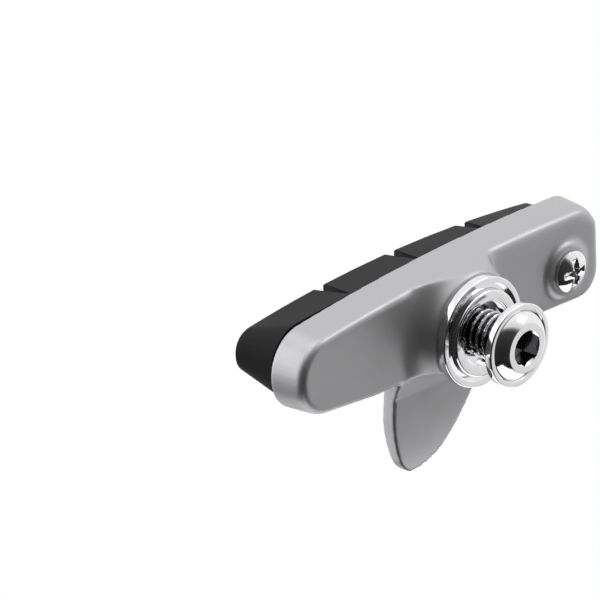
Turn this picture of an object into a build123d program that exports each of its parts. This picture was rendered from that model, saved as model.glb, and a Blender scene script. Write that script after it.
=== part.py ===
from build123d import *
import os
from math import asin, cos, radians, sin, sqrt, tan

# Brake shoe for a road bicycle's rim brake, left as it leaves the bench: a cast holder with a
# guide fin, a slide-in rubber pad, the screw that keeps the pad in, and the fixing bolt with
# its three washers. Lengths are in millimetres and angles in degrees.
# The bolt axis is the Y axis and the bolt's head is at -Y. The brake arm is clamped against the
# plane Y = 0, the rim lies at +Y, the closed front end of the holder is at -X, and Z is up.

# Holder
front_reach = 28.4        # bolt axis to the closed front end
rear_reach = 25.6         # bolt axis to the open rear end
holder_top = 8.1          # crest of the holder's mouth above the bolt axis
holder_height = 12.5      # height of the holder's mouth
rim_radius = 300.0        # radius of the holder's top, which follows the wheel rim
crest_x = 1.0             # where the arcs of the holder and of every underside are highest
track_x = -10.0           # where the upper arcs of the channel and of the pad's shoulder are highest
nose_x = -13.5            # the underside rises from here to the closed end
nose_rise = 6.5
nose_round = 20.0         # bend of the underside at that point
holder_depth = 4.9        # mouth to flat back
holder_draft = 4.0        # draft of the holder's outside
front_fullness = 0.53     # corner radius of every outline at the closed end, in heights of that end
rear_fullness = 0.29      # the same for the holder at the open end
back_round = 0.9          # rounding of the back's edge
boss_height = 2.5         # bolt boss over the flat back
boss_radius = 7.2         # flat face of the bolt boss
boss_flank = 4.0          # hollow radius of the boss's flank
boss_rear = 5.3           # the boss is cut off straight here, towards the rear
flank_sink = 0.04         # the flank runs this far under the flat back

# Guide fin
fin_front = -10.5         # front edge of the fin at its root
fin_slant = 5.0           # the front edge leans forward
fin_rear = 9.1            # where the fin's sloped edge meets the holder
fin_thickness = 2.0       # at the root
fin_tip_thickness = 1.0
fin_inset = 1.1           # flat back to the fin's outer face
fin_straight = 4.5        # straight run of the fin below the holder
fin_curl = 11.6           # radius of the outward curl on the outer face
fin_curl_angle = 36.0
fin_curl_tilt = 3.0       # the curl runs lower towards the rear
fin_drop = 11.25          # lowest point of the fin below the holder
fin_slope = 45.0          # slope of the fin's rear edge
fin_sweep = 0.78          # share of the lower edge that bends up into the sloped edge
fin_flare = 8.0           # hollow radius between the sloped edge and the holder
fin_tip_round = 1.2
gusset_drop = 2.5         # height of the thick root on the fin's outer side
gusset_lip = 0.25         # root's outer edge behind the flat back

# Pad channel and rubber pad
channel_depth = 3.2
channel_lip = 1.9         # wall of the holder at the mouth of the channel
channel_undercut = 10.0   # dovetail angle of the channel's walls
channel_rear_fullness = 0.04
foot_rear_inset = 0.8     # pad's foot inside the holder's open end
pad_clearance = 0.12      # around and under the pad's foot
pad_seat = 0.35           # shadow gap between the holder's mouth and the pad's shoulder
pad_neck_inset = 0.5      # neck in that gap, inside the pad's shoulder
pad_inset = 0.7           # pad's shoulder inside the holder's outline, above and below
pad_end_inset = 0.45      # the same at the closed end
pad_proud = 5.9           # friction face over the holder's mouth
pad_rear_inset = 0.6      # pad's shoulder inside the holder's open end
face_low = 2.9            # friction face inside the shoulder, below
face_high = 0.6           # friction face inside the shoulder, above
face_end = -0.5           # friction face inside the shoulder, at both ends
face_radius = 200.0       # arc of the friction face's upper edge
face_x = -8.0             # where that arc is highest
face_chamfer = 0.3
pad_rear_fullness = 0.45  # corner radius of the pad at the rear, in heights of that end
groove_count = 3
groove_pitch = 12.7
groove_middle = -0.7      # middle groove from the bolt axis
groove_width = 2.0
groove_root_width = 0.4
groove_root = 0.9         # rubber left over the holder's mouth under each groove

# Pad screw
screw_inset = 6.5         # screw's axis from the holder's open end
screw_z = 0.2             # screw's axis above the bolt axis
screw_thread = 3.0
screw_head = 5.2
screw_head_height = 1.35
screw_head_edge = 0.45     # straight side under the dome of the screw's head
screw_bite = 1.3          # screw's tip in the pad's foot
screw_tip_room = 0.3
collar_diameter = 7.1
collar_height = 0.6
collar_chamfer = 0.3
cross_width = 0.85
cross_length = 3.4
cross_depth = 1.0

# Fixing bolt and washers
thread_diameter = 6.0
thread_clearance = 0.05
bolt_tip_room = 0.5       # bolt's end short of the channel's floor
bolt_tip_chamfer = 0.6
head_diameter = 8.8
head_height = 1.15        # washer's rim to the flat ring on the head
head_ring = 6.3           # outside of that flat ring
head_dome = 3.0           # radius of the dome between the ring and the head's edge
hex_width = 4.0
hex_turn = 43.0           # how the socket stands on the tightened bolt
hex_depth = 2.2
hex_mouth = 4.5           # countersink at the socket's mouth
cup_diameter = 14.0
cup_thickness = 1.3
cup_bore = 6.6
cup_land = 0.35           # thickness left at the bore
cup_ring = 0.75           # flat ring around the hollow
seat_height = 1.9         # boss to the arm seat
ball_diameter = 11.0
ball_bore = 8.0
ball_clearance = 0.03
arm_gap = 4.3             # room for the brake arm
head_washer_diameter = 10.6
head_washer_thickness = 1.05
head_washer_bore = 6.8
head_washer_land = 0.3
head_washer_ring = 0.7
head_seat_clearance = 0.03
washer_chamfer = 0.25

# Planes across the bolt axis, worked out from the arm seat
boss_y = seat_height
back_y = boss_y + boss_height
mouth_y = back_y + holder_depth
floor_y = mouth_y - channel_depth
face_y = mouth_y + pad_proud
head_washer_y = -arm_gap
head_rim_y = head_washer_y - head_washer_thickness
head_top_y = head_rim_y - head_height
holder_bottom = holder_top - holder_height
screw_x = rear_reach - screw_inset
overcut = 1.0             # each drill starts this far outside the metal


def track_arc(y, front, rear, level, highest_x, radius):
    """Arc across the bolt axis that follows the wheel, at the given level where it is highest."""
    def point(x):
        return Vector(x, y, level - radius + sqrt(radius**2 - (x - highest_x) ** 2))

    return ThreePointArc(point(front), point((front + rear) / 2), point(rear))


def shoe_outline(y, front, rear, low, high, fullness, top_x=track_x, top_radius=rim_radius):
    """Face across the bolt axis: two arcs about the wheel, a nose that rises below, rounded ends."""
    top = track_arc(y, front, rear, high, top_x, top_radius - (holder_top - high))
    bottom = track_arc(y, nose_x, rear, low, crest_x, rim_radius - (holder_top - low))
    nose_end = bottom @ 0 + Vector(front - nose_x, 0, (nose_x - front) * tan(radians(nose_rise)))
    nose = Line(bottom @ 0, nose_end)
    face = make_face([top, Line(top @ 1, bottom @ 1), bottom, nose, Line(nose_end, top @ 0)])
    face = fillet(face.vertices().sort_by_distance(bottom @ 0)[0], nose_round)
    split = sorted(face.vertices(), key=lambda vertex: vertex.X)
    face = fillet(split[:2], front_fullness * (top @ 0 - nose_end).Z)
    split = sorted(face.vertices(), key=lambda vertex: vertex.X)
    return fillet(split[-2:], fullness * (top @ 1 - bottom @ 1).Z)


def turned(points):
    """Solid of revolution about the bolt axis from a list of edges in the plane Z = 0."""
    return revolve(make_face(points), Axis.Y, 360)


def drafted(outline, depth, lean, towards=-1):
    """Block drawn out from an outline along Y, whose sides lean in by an angle."""
    block = extrude(outline, amount=depth, dir=(0, towards, 0))
    sides = [face for face in block.faces() if abs(face.normal_at().Y) < 0.5]
    return draft(sides, Plane(origin=outline.center(), z_dir=(0, towards, 0)), lean)


def holder_prism(depth):
    """Drafted outside of the holder, from its mouth towards the bolt's head."""
    outline = shoe_outline(
        mouth_y, -front_reach, rear_reach, holder_bottom, holder_top, rear_fullness, crest_x
    )
    return drafted(outline, depth, holder_draft)


def bolt_boss():
    """Round boss with a hollow flank, cut straight on its rear side."""
    flank_y = back_y - boss_flank + flank_sink
    foot_radius = boss_radius + sqrt(boss_flank**2 - (flank_y - boss_y) ** 2)
    start = asin((boss_y - flank_y) / boss_flank)
    halfway = (start + radians(90)) / 2
    top = Vector(boss_radius, boss_y)
    foot = Vector(foot_radius, flank_y + boss_flank)
    bend = Vector(foot_radius - boss_flank * cos(halfway), flank_y + boss_flank * sin(halfway))
    base_y = (back_y + floor_y) / 2
    boss = turned([
        Line((0, boss_y), top),
        ThreePointArc(top, bend, foot),
        Line(foot, (foot_radius, base_y)),
        Line((foot_radius, base_y), (0, base_y)),
        Line((0, base_y), (0, boss_y)),
    ])
    reach = 2 * foot_radius
    keep = Pos(boss_rear - reach / 2, base_y, 0) * Box(reach, reach, 2 * reach)
    return boss & keep & holder_prism(mouth_y - boss_y)


def guide_fin():
    """Fin below the holder: thick at its root, then thinner and curled outwards, away from the rim."""
    outer_y = back_y + fin_inset
    inner_y = outer_y + fin_thickness
    curl_z = holder_bottom - fin_straight
    root_z = holder_bottom + channel_lip / 2
    gusset_z = holder_bottom - gusset_drop
    rise = cos(radians(fin_curl_angle))
    lean = sin(radians(fin_curl_angle))
    outer_tip = Vector(0, outer_y - fin_curl * (1 - rise), curl_z - fin_curl * lean)
    inner_tip = outer_tip + Vector(0, rise, -lean) * fin_tip_thickness
    section = make_face([
        Line((0, back_y + gusset_lip, root_z), (0, back_y + gusset_lip, holder_bottom)),
        Line((0, back_y + gusset_lip, holder_bottom), (0, outer_y, gusset_z)),
        Line((0, outer_y, gusset_z), (0, outer_y, curl_z)),
        TangentArc((0, outer_y, curl_z), outer_tip, tangent=(0, 0, -1)),
        Line(outer_tip, inner_tip),
        TangentArc((0, inner_y, curl_z), inner_tip, tangent=(0, 0, -1)),
        Line((0, inner_y, curl_z), (0, inner_y, root_z)),
        Line((0, inner_y, root_z), (0, back_y + gusset_lip, root_z)),
    ])
    length = fin_rear - fin_front
    sheet = Pos(fin_front - length, 0, 0) * extrude(section, amount=3 * length, dir=(1, 0, 0))
    sheet = Pos(fin_front, 0, curl_z) * Rot(0, fin_curl_tilt, 0) * Pos(-fin_front, 0, -curl_z) * sheet

    low_z = holder_bottom - fin_drop
    tip_x = fin_front - fin_drop * tan(radians(fin_slant))
    sweep_x = fin_rear - fin_drop / tan(radians(fin_slope))
    flare_x = fin_rear + fin_flare / 2
    corners = [
        (fin_front, root_z),
        (fin_front, holder_bottom),
        (tip_x, low_z),
        (sweep_x, low_z),
        (fin_rear, holder_bottom),
        (flare_x, holder_bottom),
        (flare_x, root_z),
    ]
    outline = make_face(Polyline([(x, face_y, z) for x, z in corners], close=True))
    for x, z, radius in (
        (sweep_x, low_z, fin_sweep * (sweep_x - tip_x) / tan(radians(fin_slope / 2))),
        (tip_x, low_z, fin_tip_round),
        (fin_rear, holder_bottom, fin_flare),
    ):
        corner = outline.vertices().sort_by_distance((x, face_y, z))[0]
        outline = fillet(corner, radius)
    return sheet & extrude(outline, amount=2 * face_y, dir=(0, -1, 0))


def pad_channel(clearance, depth_clearance, rear):
    """Dovetailed space for the pad's foot, closed at the front."""
    depth = channel_depth - depth_clearance
    lip = channel_lip + clearance
    mouth = shoe_outline(
        mouth_y, -front_reach + lip, rear, holder_bottom + lip, holder_top - lip, channel_rear_fullness
    )
    return drafted(mouth, depth, -channel_undercut)


def across(x, z, radius, start_y, end_y):
    """Round bar along Y between two planes."""
    length = end_y - start_y
    return Pos(x, (start_y + end_y) / 2, z) * Rot(90, 0, 0) * Cylinder(radius, length)


def edges_at(solid, y):
    """Edges that lie in the plane across the bolt axis at y."""
    return [edge for edge in solid.edges() if all(abs(v.Y - y) < 1e-4 for v in edge.vertices())]


def shoe_holder():
    """Cast holder in one piece: drafted shell, bolt boss, screw collar, guide fin and pad channel."""
    body = holder_prism(holder_depth)
    body = fillet(edges_at(body, back_y), back_round)
    collar = across(screw_x, screw_z, collar_diameter / 2, back_y - collar_height, (back_y + floor_y) / 2)
    collar = chamfer(edges_at(collar, back_y - collar_height), collar_chamfer)
    body = body + bolt_boss() + collar + guide_fin()
    body = body - pad_channel(0, 0, rear_reach + channel_depth)
    body = body - across(0, 0, thread_diameter / 2 + thread_clearance, boss_y - overcut, mouth_y)
    drill_y = back_y - collar_height - overcut
    return body - across(screw_x, screw_z, screw_thread / 2 + thread_clearance, drill_y, mouth_y)


def brake_pad():
    """Rubber pad: dovetailed foot, neck, tapered block and cross grooves."""
    shoulder_y = mouth_y + pad_seat
    rear = rear_reach - pad_rear_inset
    low = holder_bottom + pad_inset
    high = holder_top - pad_inset
    front = -front_reach + pad_end_inset
    shoulder = shoe_outline(shoulder_y, front, rear, low, high, pad_rear_fullness)
    friction = shoe_outline(
        face_y - face_chamfer, front + face_end, rear - face_end,
        low + face_low, high - face_high, pad_rear_fullness, face_x, face_radius,
    )
    block = loft([shoulder, friction], ruled=True)
    block = block + drafted(friction, face_chamfer, 45, towards=1)
    root_y = mouth_y + groove_root
    for index in range(groove_count):
        x = groove_middle + (index - (groove_count - 1) / 2) * groove_pitch
        wedge = make_face(Polyline([
            (x - groove_root_width / 2, root_y, 0),
            (x + groove_root_width / 2, root_y, 0),
            (x + groove_width / 2, face_y, 0),
            (x - groove_width / 2, face_y, 0),
        ], close=True))
        block = block - extrude(wedge, amount=holder_height, both=True)
    neck = shoe_outline(
        mouth_y, front + pad_neck_inset, rear - pad_neck_inset,
        low + pad_neck_inset, high - pad_neck_inset, pad_rear_fullness,
    )
    foot = pad_channel(pad_clearance, pad_clearance, rear_reach - foot_rear_inset)
    pad = block + extrude(neck, amount=pad_seat, dir=(0, 1, 0)) + foot
    tip_y = floor_y + screw_bite + screw_tip_room
    return pad - across(screw_x, screw_z, screw_thread / 2 + screw_tip_room, floor_y - overcut, tip_y)


def pad_screw():
    """Screw with a domed head and a cross recess, on its collar on the holder."""
    seat_y = back_y - collar_height
    top_y = seat_y - screw_head_height
    rise = screw_head_height - screw_head_edge
    edge = Vector(screw_head / 2, top_y + rise)
    dome = (edge.X**2 + rise**2) / (2 * rise)
    head = Pos(screw_x, 0, screw_z) * turned([
        Line((0, seat_y), (edge.X, seat_y)),
        Line((edge.X, seat_y), edge),
        RadiusArc(edge, (0, top_y), dome),
        Line((0, top_y), (0, seat_y)),
    ])
    shank = across(screw_x, screw_z, screw_thread / 2, seat_y, floor_y + screw_bite)
    recess_y = top_y + cross_depth / 2
    recess = Box(cross_length, cross_depth, cross_width) + Box(cross_width, cross_depth, cross_length)
    return head + shank - Pos(screw_x, recess_y, screw_z) * recess


def dish(bore, ring, drop):
    """Radius of the ball that fits a hollow between two radii, and its centre over the rim."""
    over_rim = (ring**2 - bore**2 - drop**2) / (2 * drop)
    return sqrt(ring**2 + over_rim**2), over_rim


def spherical(centre_y, sphere, inner, outer):
    """Arc of a sphere about the bolt axis between two radii, on the sphere's +Y side."""
    def point(radius):
        return Vector(radius, centre_y + sqrt(sphere**2 - radius**2))

    return ThreePointArc(point(inner), point((inner + outer) / 2), point(outer))


def dished_washer(flat_y, rim_y, bore, ring, outer, land):
    """Washer with a flat back and a ball-shaped hollow inside a flat ring, chamfered outside."""
    sphere, over_rim = dish(bore, ring, flat_y - rim_y - land)
    hollow = spherical(rim_y - over_rim, sphere, bore, ring)
    washer = turned([
        hollow,
        Line((ring, rim_y), (outer, rim_y)),
        Line((outer, rim_y), (outer, flat_y)),
        Line((outer, flat_y), (bore, flat_y)),
        Line((bore, flat_y), hollow @ 0),
    ])
    outside = [edge for edge in washer.edges().filter_by(GeomType.CIRCLE) if abs(edge.radius - outer) < 1e-4]
    return chamfer(outside, washer_chamfer)


def cup_ball():
    """Ball that the cup washer and the ball washer share: radius and centre on the bolt axis."""
    rim_y = boss_y - cup_thickness
    sphere, over_rim = dish(cup_bore / 2, cup_diameter / 2 - cup_ring, cup_thickness - cup_land)
    return sphere, rim_y - over_rim


def cup_washer():
    """Large washer on the holder's boss, hollowed towards the arm."""
    outer = cup_diameter / 2
    return dished_washer(boss_y, boss_y - cup_thickness, cup_bore / 2, outer - cup_ring, outer, cup_land)


def ball_washer():
    """Washer with a ball-shaped back in the cup and a flat seat for the brake arm."""
    sphere, centre_y = cup_ball()
    back = spherical(centre_y, sphere - ball_clearance, ball_bore / 2, ball_diameter / 2)
    washer = turned([
        back,
        Line(back @ 1, (ball_diameter / 2, 0)),
        Line((ball_diameter / 2, 0), (ball_bore / 2, 0)),
        Line((ball_bore / 2, 0), back @ 0),
    ])
    return chamfer(edges_at(washer, 0), washer_chamfer)


def head_washer():
    """Washer under the bolt's head, flat on the brake arm and hollowed towards the head."""
    outer = head_washer_diameter / 2
    return dished_washer(
        head_washer_y, head_rim_y, head_washer_bore / 2, outer - head_washer_ring, outer, head_washer_land
    )


def fixing_bolt():
    """Bolt with a ball-seated head and a hexagon socket, screwed into the holder."""
    ring = head_washer_diameter / 2 - head_washer_ring
    sphere, over_rim = dish(head_washer_bore / 2, ring, head_washer_thickness - head_washer_land)
    shank = thread_diameter / 2
    tip_y = floor_y - bolt_tip_room
    under = spherical(head_rim_y - over_rim, sphere - head_seat_clearance, shank, head_diameter / 2)
    flat_edge = Vector(head_ring / 2, head_top_y)
    bolt = turned([
        under,
        RadiusArc(under @ 1, flat_edge, head_dome),
        Line(flat_edge, (0, head_top_y)),
        Line((0, head_top_y), (0, tip_y)),
        Line((0, tip_y), (shank - bolt_tip_chamfer, tip_y)),
        Line((shank - bolt_tip_chamfer, tip_y), (shank, tip_y - bolt_tip_chamfer)),
        Line((shank, tip_y - bolt_tip_chamfer), under @ 0),
    ])
    socket = extrude(RegularPolygon(hex_width / 2, 6, major_radius=False), amount=hex_depth)
    bolt = bolt - Pos(0, head_top_y, 0) * Rot(-90, 0, 0) * Rot(0, 0, hex_turn) * socket
    cone_y = head_top_y + hex_mouth / 2 - hex_width / 3
    return bolt - turned([
        Line((0, head_top_y), (hex_mouth / 2, head_top_y)),
        Line((hex_mouth / 2, head_top_y), (hex_width / 3, cone_y)),
        Line((hex_width / 3, cone_y), (0, cone_y)),
        Line((0, cone_y), (0, head_top_y)),
    ])


pieces = {
    "shoe_holder": shoe_holder,
    "brake_pad": brake_pad,
    "pad_screw": pad_screw,
    "cup_washer": cup_washer,
    "ball_washer": ball_washer,
    "head_washer": head_washer,
    "fixing_bolt": fixing_bolt,
}
os.makedirs("parts", exist_ok=True)
for name, make in pieces.items():
    export_step(make(), f"parts/{name}.step")
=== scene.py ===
from math import cos, pi, radians, sin, sqrt, tan

import bmesh
import bpy
from mathutils import Matrix, Vector


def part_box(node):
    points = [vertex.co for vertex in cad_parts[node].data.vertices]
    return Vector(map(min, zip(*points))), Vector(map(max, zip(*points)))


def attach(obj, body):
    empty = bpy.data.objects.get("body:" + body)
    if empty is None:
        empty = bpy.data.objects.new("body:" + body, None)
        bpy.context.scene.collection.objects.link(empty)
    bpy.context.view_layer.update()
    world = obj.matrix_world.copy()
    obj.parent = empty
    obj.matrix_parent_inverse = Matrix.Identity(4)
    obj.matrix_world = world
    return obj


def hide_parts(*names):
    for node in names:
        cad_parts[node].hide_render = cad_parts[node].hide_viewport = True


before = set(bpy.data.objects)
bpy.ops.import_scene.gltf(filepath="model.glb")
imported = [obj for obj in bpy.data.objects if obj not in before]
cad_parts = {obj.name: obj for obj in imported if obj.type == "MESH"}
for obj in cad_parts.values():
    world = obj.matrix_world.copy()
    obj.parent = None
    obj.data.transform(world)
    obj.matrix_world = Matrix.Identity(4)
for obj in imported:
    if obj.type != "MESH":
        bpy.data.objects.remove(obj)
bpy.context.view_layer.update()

MM = 0.001

# Camera: the photograph's directions to the right and upwards, in the part's frame
CAMERA_RIGHT = Vector((0.673, -0.739, -0.027))
CAMERA_UP = Vector((0.335, 0.273, 0.902))
CAMERA_AIM = Vector((-13.03, 18.47, 3.74)) * MM   # what the photograph's middle shows
CAMERA_DISTANCE = 3.0
PICTURE_WIDTH = 72.29 * MM                        # width of the picture at the aim point

# Stage
FLOOR_LEVEL = -150 * MM
FLOOR_SIZE = 0.22
FLOOR_GLOW = 0.5                                  # makes the lit floor white to the camera

# Brightness of the studio, from the white backdrop (-1) to its dark side, below the camera (1)
DARK_SIDE = Vector((-0.66, -0.66, -0.35))
WALLS = ((-1, 1.0), (-0.35, 1.0), (0, 0.9), (0.18, 0.75), (0.28, 0.2), (0.4, 0.05), (1, 0.02))
BACKDROP_EDGE = (-0.35, -0.15)                    # where bright metal stops showing the white backdrop
LOW_WALLS = 0.3                                   # share of the brightness left well below the horizon
LOW_WALLS_FADE = (-0.75, -0.5)                    # height of a direction over which it falls to that share

# Sections of the washers and the bolt, in millimetres: bore, hollow's edge, outside, depth of the hollow
CUP_SECTION = (3.3, 6.25, 7.0, 0.95)
HEAD_WASHER_SECTION = (3.4, 4.6, 5.3, 0.75)
BALL_WASHER_RADII = (4.0, 5.5)
SEAT_CLEARANCE = 0.03
WASHER_ROUND = 0.25
LIP_ROUND = 0.18
HEAD_RADIUS = 4.4
HEAD_RING = 3.15
HEAD_DOME = 3.0
HEAD_ROUND = 0.22
SOCKET_WIDTH = 4.0
SOCKET_TURN = 17.0
SOCKET_MOUTH = 4.5
SOCKET_DEPTH = 2.2
SOCKET_EDGE = 0.01                                # keeps the mouth's ring outside the hexagon's corners
DOME_STEPS = 12
SIDES = 96

# Thread of the fixing bolt, in millimetres
BOLT_RADIUS = 3.0
THREAD_PITCH = 1.0
THREAD_DEPTH = 0.55
THREAD_STEPS = 20
THREAD_RUN_OUT = 0.6
THREAD_CREST = 0.125                              # shares of the pitch that are flat
THREAD_ROOT = 0.25
BOLT_NECK = -4.3 * MM                             # where the shank starts, in metres

# Edges that the casting and the rubber have: rounds of smoothing, and where each kind of smoothing lies
CAST_VOXEL = 0.13 * MM
SMOOTHING = 0.5                                   # strength of one round
EDGE_ROUNDS = 26
BACK_ROUNDS = 40
FLANK_ROUNDS = 250
LIP_SHARE = 0.35
BACK_LIMIT = 6.2 * MM                             # the back lies on this side of the channel's floor
FIN_LIMIT = -5.6 * MM                             # and above the fin
BOSS_FRONT = -15 * MM
BOSS_FACE = 2.0 * MM                              # the cup washer's seat
FRONT_SHARE = 0.2
REAR_FLANK = (1.5 * MM, 15 * MM)
UPPER_EDGE = 4.4 * MM
BOLT_HOLE = 3.3 * MM
SCREW_HOLE = 1.8 * MM
PAD_SCREW = (sum(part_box("pad_screw"), Vector()) / 2).xz
CAST_FADE = 1.0 * MM
CAST_THINNING = 0.3
RUBBER_EDGE = 0.16 * MM
RUBBER_CORNER = radians(28)                       # sharper corners than this are rounded


def material(name):
    """New material: its tree, its shader and the object's own coordinates."""
    made = bpy.data.materials.new(name)
    made.use_nodes = True
    tree = made.node_tree
    place = tree.nodes.new("ShaderNodeTexCoord").outputs["Object"]
    return made, tree, tree.nodes["Principled BSDF"], place


def noise(tree, place, size, detail=3.0, roughness=0.6):
    """Noise whose features are about the given size."""
    node = tree.nodes.new("ShaderNodeTexNoise")
    node.inputs["Scale"].default_value = 1 / size
    node.inputs["Detail"].default_value = detail
    node.inputs["Roughness"].default_value = roughness
    tree.links.new(place, node.inputs["Vector"])
    return node.outputs["Fac"]


def spread(tree, value, low, high, start=0.3, end=0.7):
    """Value that goes from low to high while another one, such as noise, goes from start to end."""
    node = tree.nodes.new("ShaderNodeMapRange")
    node.inputs["From Min"].default_value = start
    node.inputs["From Max"].default_value = end
    node.inputs["To Min"].default_value = low
    node.inputs["To Max"].default_value = high
    tree.links.new(value, node.inputs["Value"])
    return node.outputs["Result"]


def shade(tree, value, dark, light):
    """Colour between two colours, from a noise value."""
    node = tree.nodes.new("ShaderNodeValToRGB")
    node.color_ramp.elements[0].position = 0.3
    node.color_ramp.elements[0].color = (*dark, 1)
    node.color_ramp.elements[1].position = 0.7
    node.color_ramp.elements[1].color = (*light, 1)
    tree.links.new(value, node.inputs["Fac"])
    return node.outputs["Color"]


def bump(tree, value, strength, height):
    """Fine relief from a noise value."""
    node = tree.nodes.new("ShaderNodeBump")
    node.inputs["Strength"].default_value = strength
    node.inputs["Distance"].default_value = height
    tree.links.new(value, node.inputs["Height"])
    return node.outputs["Normal"]


def parts_of(tree, place):
    """X, Y and Z of a place."""
    node = tree.nodes.new("ShaderNodeSeparateXYZ")
    tree.links.new(place, node.inputs["Vector"])
    return node.outputs


def either(tree, one, other):
    """Larger of two values."""
    node = tree.nodes.new("ShaderNodeMath")
    node.operation = "MAXIMUM"
    tree.links.new(one, node.inputs[0])
    tree.links.new(other, node.inputs[1])
    return node.outputs["Value"]


def holder_metal():
    """Satin silver coating with fine metal flakes on the casting."""
    made, tree, shader, place = material("satin_silver")
    flakes = noise(tree, place, 0.12 * MM)
    tree.links.new(shade(tree, flakes, (0.47, 0.47, 0.482), (0.52, 0.52, 0.533)), shader.inputs["Base Color"])
    tree.links.new(spread(tree, noise(tree, place, 3 * MM), 0.40, 0.46), shader.inputs["Roughness"])
    tree.links.new(bump(tree, flakes, 0.06, 0.02 * MM), shader.inputs["Normal"])
    shader.inputs["Metallic"].default_value = 0.75
    return made


def pad_rubber():
    """Dull black rubber with a fine grain."""
    made, tree, shader, place = material("black_rubber")
    grain = noise(tree, place, 0.35 * MM, detail=6.0, roughness=0.75)
    black = shade(tree, grain, (0.007, 0.007, 0.008), (0.022, 0.022, 0.024))
    tree.links.new(black, shader.inputs["Base Color"])
    tree.links.new(spread(tree, grain, 0.5, 0.68), shader.inputs["Roughness"])
    shader.inputs["Specular IOR Level"].default_value = 0.16
    tree.links.new(bump(tree, grain, 0.25, 0.05 * MM), shader.inputs["Normal"])
    return made


def bright_steel():
    """Bright plated steel with faint wear, and painted shade darkening the roots of the bolt's thread."""
    made, tree, shader, place = material("bright_steel")
    wear = noise(tree, place, 0.8 * MM)
    plating = shade(tree, wear, (0.80, 0.80, 0.81), (0.86, 0.86, 0.87))
    parts = parts_of(tree, place)
    across = tree.nodes.new("ShaderNodeCombineXYZ")
    tree.links.new(parts["X"], across.inputs["X"])
    tree.links.new(parts["Z"], across.inputs["Z"])
    from_axis = tree.nodes.new("ShaderNodeVectorMath")
    from_axis.operation = "LENGTH"
    tree.links.new(across.outputs["Vector"], from_axis.inputs[0])
    root = (BOLT_RADIUS - THREAD_DEPTH / 2) * MM
    beside = spread(tree, from_axis.outputs["Value"], 0.0, 1.0, root, BOLT_RADIUS * MM)
    head = spread(tree, parts["Y"], 1.0, 0.0, BOLT_NECK - 0.2 * MM, BOLT_NECK)
    # painted shade: the thread's roots are mixed towards a dark colour that stands in for the shade falling
    # in them, while the crests and the head keep the bright plating
    root_shade = tree.nodes.new("ShaderNodeMix")
    root_shade.data_type = "RGBA"
    root_shade.inputs["A"].default_value = (0.10, 0.10, 0.105, 1)
    tree.links.new(either(tree, beside, head), root_shade.inputs["Factor"])
    tree.links.new(plating, root_shade.inputs["B"])
    tree.links.new(root_shade.outputs["Result"], shader.inputs["Base Color"])
    tree.links.new(spread(tree, wear, 0.07, 0.13), shader.inputs["Roughness"])
    shader.inputs["Metallic"].default_value = 1.0
    return made


def copy_of(node):
    """Mesh of a node as one connected skin."""
    skin = bmesh.new()
    skin.from_mesh(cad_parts[node].data)
    bmesh.ops.remove_doubles(skin, verts=skin.verts, dist=0.5e-6)
    return skin


def show(name, skin, finish, node, smooth_angle=None):
    """Object from a skin, in place of a node."""
    mesh = bpy.data.meshes.new(name)
    skin.to_mesh(mesh)
    skin.free()
    mesh.shade_smooth()
    if smooth_angle is not None:
        mesh.set_sharp_from_angle(angle=radians(smooth_angle))
    piece = bpy.data.objects.new(name, mesh)
    bpy.context.collection.objects.link(piece)
    mesh.materials.append(finish)
    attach(piece, "root")
    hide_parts(node)
    return piece


def even_skin(node, voxel):
    """Mesh of a node rebuilt with faces of about one size."""
    rough = bpy.data.objects.new("rough", bpy.data.meshes.new("rough"))
    skin = copy_of(node)
    skin.to_mesh(rough.data)
    bpy.context.collection.objects.link(rough)
    remesh = rough.modifiers.new("even_skin", "REMESH")
    remesh.mode = "VOXEL"
    remesh.voxel_size = voxel
    even = bpy.data.meshes.new_from_object(rough.evaluated_get(bpy.context.evaluated_depsgraph_get()))
    bpy.data.objects.remove(rough)
    skin.clear()
    skin.from_mesh(even)
    return skin


def within(value, low, high):
    """1 inside a range, fading to 0 at its two ends."""
    return max(min((value - low) / CAST_FADE, (high - value) / CAST_FADE, 1), 0)


def hole_share(spot):
    """0 in the holes for the fixing bolt and the pad screw, 1 away from them."""
    from_bolt = spot.xz.length
    from_screw = (spot.xz - PAD_SCREW).length
    return min(within(from_bolt, BOLT_HOLE, 1), within(from_screw, SCREW_HOLE, 1))


def back_share(spot):
    """1 on the holder's back, 0 on its fin and round its channel."""
    return min(within(spot.y, -1, BACK_LIMIT), within(spot.z, FIN_LIMIT, 1))


def boss_share(spot):
    """1 on the boss and behind it, less on the crisper front of the back."""
    return min(back_share(spot), max(within(spot.x, BOSS_FRONT, 1), FRONT_SHARE))


def edge_share(spot):
    """1 on the holder's back and fin, less on the thin lips of its channel."""
    return max(back_share(spot), within(spot.z, -1, FIN_LIMIT + CAST_FADE), LIP_SHARE)


def flank_share(spot):
    """1 where the boss runs out into the back behind the bolt, and along the upper edge there."""
    upper = min(within(spot.x, REAR_FLANK[0], 1), within(spot.z, UPPER_EDGE, 1))
    return min(back_share(spot), within(spot.y, BOSS_FACE, 1), max(within(spot.x, *REAR_FLANK), upper))


def soften(piece, name, rounds, share):
    """Smooths a piece as far as a share of each place on it says."""
    group = piece.vertex_groups.new(name=name)
    for vertex in piece.data.vertices:
        group.add([vertex.index], min(share(vertex.co), hole_share(vertex.co)), "REPLACE")
    smooth = piece.modifiers.new(name, "SMOOTH")
    smooth.factor = SMOOTHING
    smooth.iterations = rounds
    smooth.vertex_group = name


def cast_holder(finish):
    """Holder with the soft edges of a casting, softest on its back."""
    piece = show("cast_holder", even_skin("shoe_holder", CAST_VOXEL), finish, "shoe_holder")
    soften(piece, "soft_edges", EDGE_ROUNDS, edge_share)
    soften(piece, "soft_back", BACK_ROUNDS, boss_share)
    soften(piece, "soft_flank", FLANK_ROUNDS, flank_share)
    thin = piece.modifiers.new("fewer_faces", "DECIMATE")
    thin.ratio = CAST_THINNING


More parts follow.
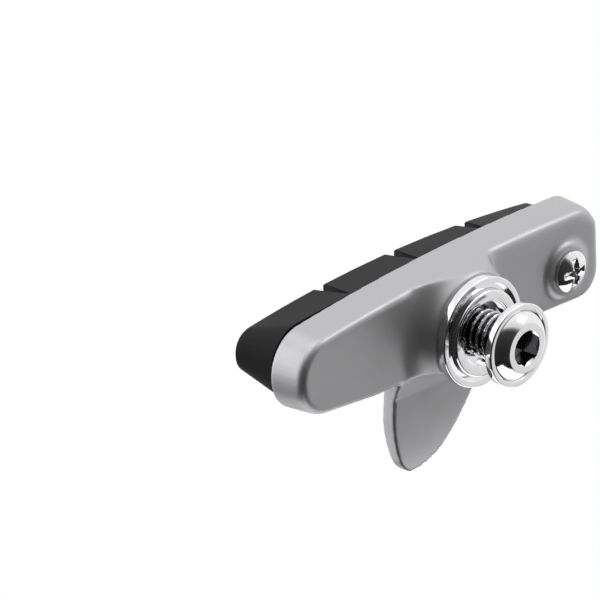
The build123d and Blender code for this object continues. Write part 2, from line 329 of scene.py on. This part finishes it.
def moulded_pad(finish):
    """Rubber pad with the small rounds of its mould."""
    skin = copy_of("brake_pad")
    bmesh.ops.dissolve_limit(skin, angle_limit=radians(1), verts=skin.verts, edges=skin.edges)
    piece = show("moulded_pad", skin, finish, "brake_pad", smooth_angle=30)
    edge = piece.modifiers.new("mould_edges", "BEVEL")
    edge.width = RUBBER_EDGE
    edge.segments = 2
    edge.limit_method = "ANGLE"
    edge.angle_limit = RUBBER_CORNER
    edge.harden_normals = True


def rounded(corners, steps=5):
    """Section from corners of radius, place and rounding, with an arc at each rounded corner."""
    section = []
    for index, (radius, y, rounding) in enumerate(corners):
        corner = Vector((radius, y))
        if not rounding:
            section.append(corner)
            continue
        before = (Vector(corners[index - 1][:2]) - corner).normalized()
        after = (Vector(corners[(index + 1) % len(corners)][:2]) - corner).normalized()
        half = before.angle(after) / 2
        centre = corner + (before + after).normalized() * rounding / sin(half)
        start = corner + before * rounding / tan(half) - centre
        end = corner + after * rounding / tan(half) - centre
        for step in range(steps + 1):
            section.append(centre + start.lerp(end, step / steps).normalized() * rounding)
    return section


def ball(sizes):
    """Radius of the ball that fits a washer's hollow, and its centre's height over the hollow's edge."""
    bore, edge, _, depth = sizes
    height = (edge**2 - bore**2 - depth**2) / (2 * depth)
    return sqrt(edge**2 + height**2), height


def ball_arc(centre, radius, inner, outer, steps=16):
    """Points on a ball about the bolt axis, between two distances from that axis."""
    arc = []
    for step in range(steps + 1):
        across = inner + (outer - inner) * step / steps
        arc.append((across, centre + sqrt(radius**2 - across**2), 0))
    return arc


def lathe(name, section, node, finish):
    """Ring turned about the bolt axis from its closed section."""
    skin = bmesh.new()
    corners = [skin.verts.new((radius * MM, y * MM, 0)) for radius, y in section]
    edges = [skin.edges.new(pair) for pair in zip(corners, corners[1:] + corners[:1])]
    bmesh.ops.spin(
        skin, geom=corners + edges, cent=(0, 0, 0), axis=(0, 1, 0), angle=2 * pi, steps=SIDES, use_merge=True
    )
    bmesh.ops.recalc_face_normals(skin, faces=skin.faces)
    show(name, skin, finish, node, smooth_angle=34)


def dished_washer(name, node, sizes, finish):
    """Washer with a flat back, rounded edges and a ball-shaped hollow towards the bolt's head."""
    bore, edge, outside, _ = sizes
    rim, flat = (corner[1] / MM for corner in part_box(node))
    radius, height = ball(sizes)
    hollow = ball_arc(rim - height, radius, bore, edge)
    lathe(name, rounded([
        *hollow[:-1],
        (*hollow[-1][:2], LIP_ROUND / 2),
        (outside, rim, LIP_ROUND),
        (outside, flat, WASHER_ROUND),
        (bore, flat, 0),
    ]), node, finish)


def ball_washer(finish):
    """Washer with a ball-shaped back and a flat seat for the brake arm."""
    bore, outside = BALL_WASHER_RADII
    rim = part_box("cup_washer")[0][1] / MM
    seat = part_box("ball_washer")[0][1] / MM
    radius, height = ball(CUP_SECTION)
    back = ball_arc(rim - height, radius - SEAT_CLEARANCE, bore, outside)
    lathe("ball_seat", rounded([
        *back,
        (outside, seat, WASHER_ROUND),
        (bore, seat, WASHER_ROUND),
    ]), "ball_washer", finish)


def thread_depth(turn):
    """Depth of the thread at a place along one pitch, from 0 to 1: flat crest, flanks, flat root."""
    place = turn % 1.0
    flank = (1 - THREAD_CREST - THREAD_ROOT) / 2
    if place < THREAD_CREST:
        return 0.0
    if place < THREAD_CREST + flank:
        return (place - THREAD_CREST) / flank
    if place < THREAD_CREST + flank + THREAD_ROOT:
        return 1.0
    return (1 - place) / flank


def socket_radius(angle):
    """Distance from the bolt axis to the hexagon socket's wall, in a direction across the axis."""
    from_corner = (angle - radians(SOCKET_TURN)) % radians(60)
    return SOCKET_WIDTH / 2 / cos(from_corner - radians(30))


def threaded_bolt(finish):
    """Bolt in one skin, from the floor of its socket over the head and down the thread to its tip."""
    top, tip = (corner[1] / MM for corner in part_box("fixing_bolt"))
    radius, height = ball(HEAD_WASHER_SECTION)
    hollow_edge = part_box("head_washer")[0][1] / MM
    seat = ball_arc(hollow_edge - height, radius - SEAT_CLEARANCE, BOLT_RADIUS, HEAD_RADIUS)
    rim = Vector(seat[-1][:2])
    ring = Vector((HEAD_RING, top))
    middle = (rim + ring) / 2
    across = (ring - rim).orthogonal().normalized()
    across *= 1 if across.x > 0 else -1
    centre = middle - across * sqrt(HEAD_DOME**2 - (ring - rim).length_squared / 4)
    dome = []
    for step in range(DOME_STEPS + 1):
        spot = centre + (ring.lerp(rim, step / DOME_STEPS) - centre).normalized() * HEAD_DOME
        dome.append((spot.x, spot.y, 0))
    dome[0] = (*dome[0][:2], HEAD_ROUND)
    head = rounded([(SOCKET_MOUTH / 2, top, 0), *dome, *reversed(seat)])[:-1]

    skin = bmesh.new()
    angles = [2 * pi * side / SIDES + radians(SOCKET_TURN) for side in range(SIDES)]

    def ring_of(points):
        spots = [(r * cos(a), y, r * sin(a)) for a, (r, y) in zip(angles, points)]
        return [skin.verts.new(Vector(spot) * MM) for spot in spots]

    rings = [ring_of([(socket_radius(a), top + SOCKET_DEPTH) for a in angles])]
    mouth = []
    for a in angles:
        wall = socket_radius(a)
        mouth.append((wall, top + max(SOCKET_MOUTH / 2 - wall, 0)))
    rings.append(ring_of(mouth))
    rings.append(ring_of([(max(SOCKET_MOUTH / 2, socket_radius(a) + SOCKET_EDGE), top) for a in angles]))
    for spot in head[1:]:
        rings.append(ring_of([tuple(spot)] * SIDES))
    neck = seat[0][1]
    rows = round((tip - neck) / THREAD_PITCH * THREAD_STEPS)
    for row in range(rows + 1):
        y = neck + (tip - neck) * row / rows
        cut = min((y - neck) / THREAD_RUN_OUT, 1) * THREAD_DEPTH
        points = []
        for side in range(SIDES):
            turn = (y - neck) / THREAD_PITCH + side / SIDES
            points.append((BOLT_RADIUS - cut * thread_depth(turn), y))
        rings.append(ring_of(points))
    for low, high in zip(rings, rings[1:]):
        for side in range(SIDES):
            after = (side + 1) % SIDES
            skin.faces.new((low[side], low[after], high[after], high[side]))
    skin.faces.new(rings[0])
    skin.faces.new(rings[-1])
    bmesh.ops.recalc_face_normals(skin, faces=skin.faces)
    show("threaded_bolt", skin, finish, "fixing_bolt", smooth_angle=26)


def cross_screw(finish):
    """Pad screw with its domed head and cross recess."""
    show("cross_screw", copy_of("pad_screw"), finish, "pad_screw", smooth_angle=30)


def floor_paint():
    """White floor that is white to the camera and still takes the shadow."""
    made, tree, shader, place = material("white_floor")
    speckle = noise(tree, place, 5 * MM)
    tree.links.new(shade(tree, speckle, (0.80, 0.80, 0.80), (0.82, 0.82, 0.82)), shader.inputs["Base Color"])
    shader.inputs["Roughness"].default_value = 0.9
    rays = tree.nodes.new("ShaderNodeLightPath")
    mirrored = either(tree, rays.outputs["Is Glossy Ray"], rays.outputs["Is Transmission Ray"])
    seen = either(tree, rays.outputs["Is Camera Ray"], mirrored)
    shader.inputs["Emission Color"].default_value = (1, 1, 1, 1)
    tree.links.new(spread(tree, seen, 0.0, FLOOR_GLOW, 0, 1), shader.inputs["Emission Strength"])
    return made


def floor():
    """Plain floor below the shoe."""
    mesh = bpy.data.meshes.new("floor")
    half = FLOOR_SIZE / 2
    corners = [(-half, -half), (half, -half), (half, half), (-half, half)]
    mesh.from_pydata([(x, y, FLOOR_LEVEL) for x, y in corners], [], [(0, 1, 2, 3)])
    piece = bpy.data.objects.new("floor", mesh)
    bpy.context.collection.objects.link(piece)
    mesh.materials.append(floor_paint())


def studio_walls():
    """World that is white to the camera, pale behind the shoe and dark on one side."""
    world = bpy.data.worlds.new("studio")
    bpy.context.scene.world = world
    world.use_nodes = True
    tree = world.node_tree
    background = tree.nodes["Background"]
    place = tree.nodes.new("ShaderNodeTexCoord")
    towards = tree.nodes.new("ShaderNodeVectorMath")
    towards.operation = "DOT_PRODUCT"
    towards.inputs[1].default_value = DARK_SIDE.normalized()
    tree.links.new(place.outputs["Generated"], towards.inputs[0])
    ramp = tree.nodes.new("ShaderNodeValToRGB")
    tree.links.new(spread(tree, towards.outputs["Value"], 0.0, 1.0, -1, 1), ramp.inputs["Fac"])
    steps = ramp.color_ramp.elements
    for step, (across, level) in zip((steps[0], steps[1]), (WALLS[0], WALLS[-1])):
        step.position = (across + 1) / 2
        step.color = (level, level, level, 1)
    for across, level in WALLS[1:-1]:
        step = steps.new((across + 1) / 2)
        step.color = (level, level, level, 1)
    rays = tree.nodes.new("ShaderNodeLightPath")
    behind = spread(tree, towards.outputs["Value"], 1.0, 0.0, *BACKDROP_EDGE)
    mirrored = either(tree, rays.outputs["Is Glossy Ray"], rays.outputs["Is Transmission Ray"])
    backdrop = tree.nodes.new("ShaderNodeMath")
    backdrop.operation = "MULTIPLY"
    tree.links.new(mirrored, backdrop.inputs[0])
    tree.links.new(behind, backdrop.inputs[1])
    mix = tree.nodes.new("ShaderNodeMix")
    mix.data_type = "RGBA"
    seen = either(tree, rays.outputs["Is Camera Ray"], backdrop.outputs["Value"])
    tree.links.new(seen, mix.inputs["Factor"])
    tree.links.new(ramp.outputs["Color"], mix.inputs["A"])
    mix.inputs["B"].default_value = (1, 1, 1, 1)
    tree.links.new(mix.outputs["Result"], background.inputs["Color"])
    height = parts_of(tree, place.outputs["Generated"])["Z"]
    low = spread(tree, height, LOW_WALLS, 1.0, *LOW_WALLS_FADE)
    tree.links.new(either(tree, rays.outputs["Is Camera Ray"], low), background.inputs["Strength"])


def softbox(name, place, size, power):
    """Soft lamp that faces the shoe."""
    lamp = bpy.data.lights.new(name, "AREA")
    lamp.shape = "SQUARE"
    lamp.size = size
    lamp.energy = power
    holder = bpy.data.objects.new(name, lamp)
    holder.location = place
    holder.rotation_euler = (-Vector(place)).to_track_quat("-Z", "Y").to_euler()
    bpy.context.collection.objects.link(holder)


def camera():
    """Camera at the photograph's angle."""
    back = CAMERA_RIGHT.cross(CAMERA_UP).normalized()
    right = CAMERA_UP.cross(back).normalized()
    up = back.cross(right)
    lens = bpy.data.cameras.new("camera")
    lens.sensor_width = 36
    lens.lens = lens.sensor_width * CAMERA_DISTANCE / PICTURE_WIDTH
    holder = bpy.data.objects.new("camera", lens)
    turn = Matrix((right, up, back)).transposed()
    holder.matrix_world = Matrix.Translation(CAMERA_AIM + back * CAMERA_DISTANCE) @ turn.to_4x4()
    bpy.context.collection.objects.link(holder)
    bpy.context.scene.camera = holder


silver = holder_metal()
rubber = pad_rubber()
steel = bright_steel()
cast_holder(silver)
moulded_pad(rubber)
threaded_bolt(steel)
cross_screw(steel)
dished_washer("cup", "cup_washer", CUP_SECTION, steel)
ball_washer(steel)
dished_washer("head_seat", "head_washer", HEAD_WASHER_SECTION, steel)

floor()
studio_walls()
softbox("overhead", (-0.05, 0.1, 0.6), 0.4, 0.6)
softbox("right_front", (0.56, -0.42, 0.60), 0.4, 1.3)
softbox("left_high", (-0.40, 0.40, 0.33), 0.4, 0.6)
softbox("left_low", (-0.45, 0.36, 0.0), 0.4, 0.6)
camera()
bpy.context.scene.view_settings.view_transform = "Standard"
